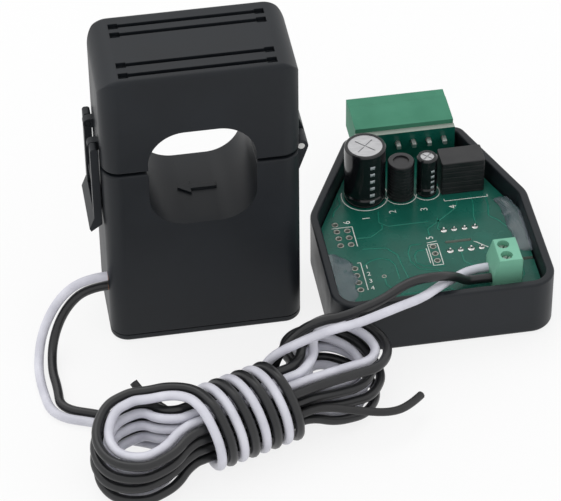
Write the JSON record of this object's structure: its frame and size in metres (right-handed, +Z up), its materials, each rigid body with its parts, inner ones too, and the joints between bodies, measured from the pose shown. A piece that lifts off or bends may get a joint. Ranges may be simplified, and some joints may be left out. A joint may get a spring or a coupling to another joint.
{
  "type": "single-phase energy meter with clip-on current transformer",
  "caption": "Clip-on current transformer with a hinged, latched cap, wired by a hank of paired leads to an open tray that holds a metering board.",
  "frame": {"origin": "middle of the common footprint of the transformer and the tray, on the surface they stand on, without the leads", "axes": "+X from the transformer to the tray, +Y away from the window's front face towards the header, +Z up"},
  "size_m": [0.1221, 0.1126, 0.076],
  "materials": {
    "transformer_case": "fine moulded texture",
    "steel": "plated",
    "core": "ground ferrite",
    "foam": "soft foam",
    "bobbin": "moulded",
    "copper": "enamelled copper",
    "solder": "bright tin",
    "tray": "moulded, satin",
    "circuit_board": "green solder mask",
    "connector_green": "moulded",
    "can_aluminium": "bare can",
    "sleeve_black": "shrunk film",
    "inductor_black": "shrunk film",
    "converter_black": "potted block",
    "chip_black": "moulded",
    "glue": "set glue",
    "lead_white": "soft insulation",
    "lead_black": "soft insulation",
    "tie_black": "plastic-covered wire"
  },
  "bodies": {
    "meter": {"ct_base_shell": "transformer_case", "ct_bottom_cover": "transformer_case", "hinge_pin": "steel", "core_lower": "core", "bobbin": "bobbin", "secondary_winding": "copper", "winding_pins": "solder", "lead_tails": "copper", "tray": "tray", "main_board": "circuit_board", "terminal_board": "circuit_board", "header_body": "connector_green", "header_pins": "solder", "header_solder_joints": "solder", "large_capacitor_can": "can_aluminium", "large_capacitor_sleeve": "sleeve_black", "small_capacitor_can": "can_aluminium", "small_capacitor_sleeve": "sleeve_black", "inductor": "inductor_black", "power_converter": "converter_black", "component_joints": "solder", "metering_chip": "chip_black", "chip_solder_joints": "solder", "terminal_body": "connector_green", "terminal_bars": "solder", "conductor_tips": "copper", "glue_left": "glue", "glue_right": "glue", "lead_white_ct_end": "lead_white", "lead_white_hank": "lead_white", "lead_white_board_end": "lead_white", "lead_black_ct_end": "lead_black", "lead_black_hank": "lead_black", "lead_black_board_end": "lead_black", "tie_left_end": "tie_black", "tie_right_end": "tie_black"},
    "cap": {"ct_cap_shell": "transformer_case", "core_upper": "core", "core_pad": "foam"},
    "latch": {"latch_clip": "transformer_case"},
    "screw_front": {"terminal_screw_front": "steel"},
    "clamp_front": {"terminal_clamp_front": "steel"},
    "screw_rear": {"terminal_screw_rear": "steel"},
    "clamp_rear": {"terminal_clamp_rear": "steel"}
  },
  "joints": [
    {"name": "cap_hinge", "type": "hinge", "parent": "meter", "child": "cap", "pos_m": [-0.00428, -0.0092, 0.05], "axis": [0, 1, 0], "range_deg": [0, 95]},
    {"name": "latch_swing", "type": "hinge", "parent": "cap", "child": "latch", "pos_m": [-0.05103, -0.0092, 0.0535], "axis": [0, 1, 0], "range_deg": [0, 12]},
    {"name": "screw_front_turn", "type": "hinge", "parent": "meter", "child": "screw_front", "pos_m": [0.04213, -0.02811, 0.016], "axis": [0, 0, 1], "range_deg": [0, 720]},
    {"name": "clamp_front_travel", "type": "slide", "parent": "meter", "child": "clamp_front", "axis": [0, 0, -1], "range_m": [0, 0.001]},
    {"name": "screw_rear_turn", "type": "hinge", "parent": "meter", "child": "screw_rear", "pos_m": [0.04213, -0.0243, 0.016], "axis": [0, 0, 1], "range_deg": [0, 720]},
    {"name": "clamp_rear_travel", "type": "slide", "parent": "meter", "child": "clamp_rear", "axis": [0, 0, -1], "range_m": [0, 0.001]}
  ],
  "couplings": [
    {"joint": "screw_front_turn", "follows": "clamp_front_travel", "rad_per_m": 12566},
    {"joint": "screw_rear_turn", "follows": "clamp_rear_travel", "rad_per_m": 12566}
  ]
}
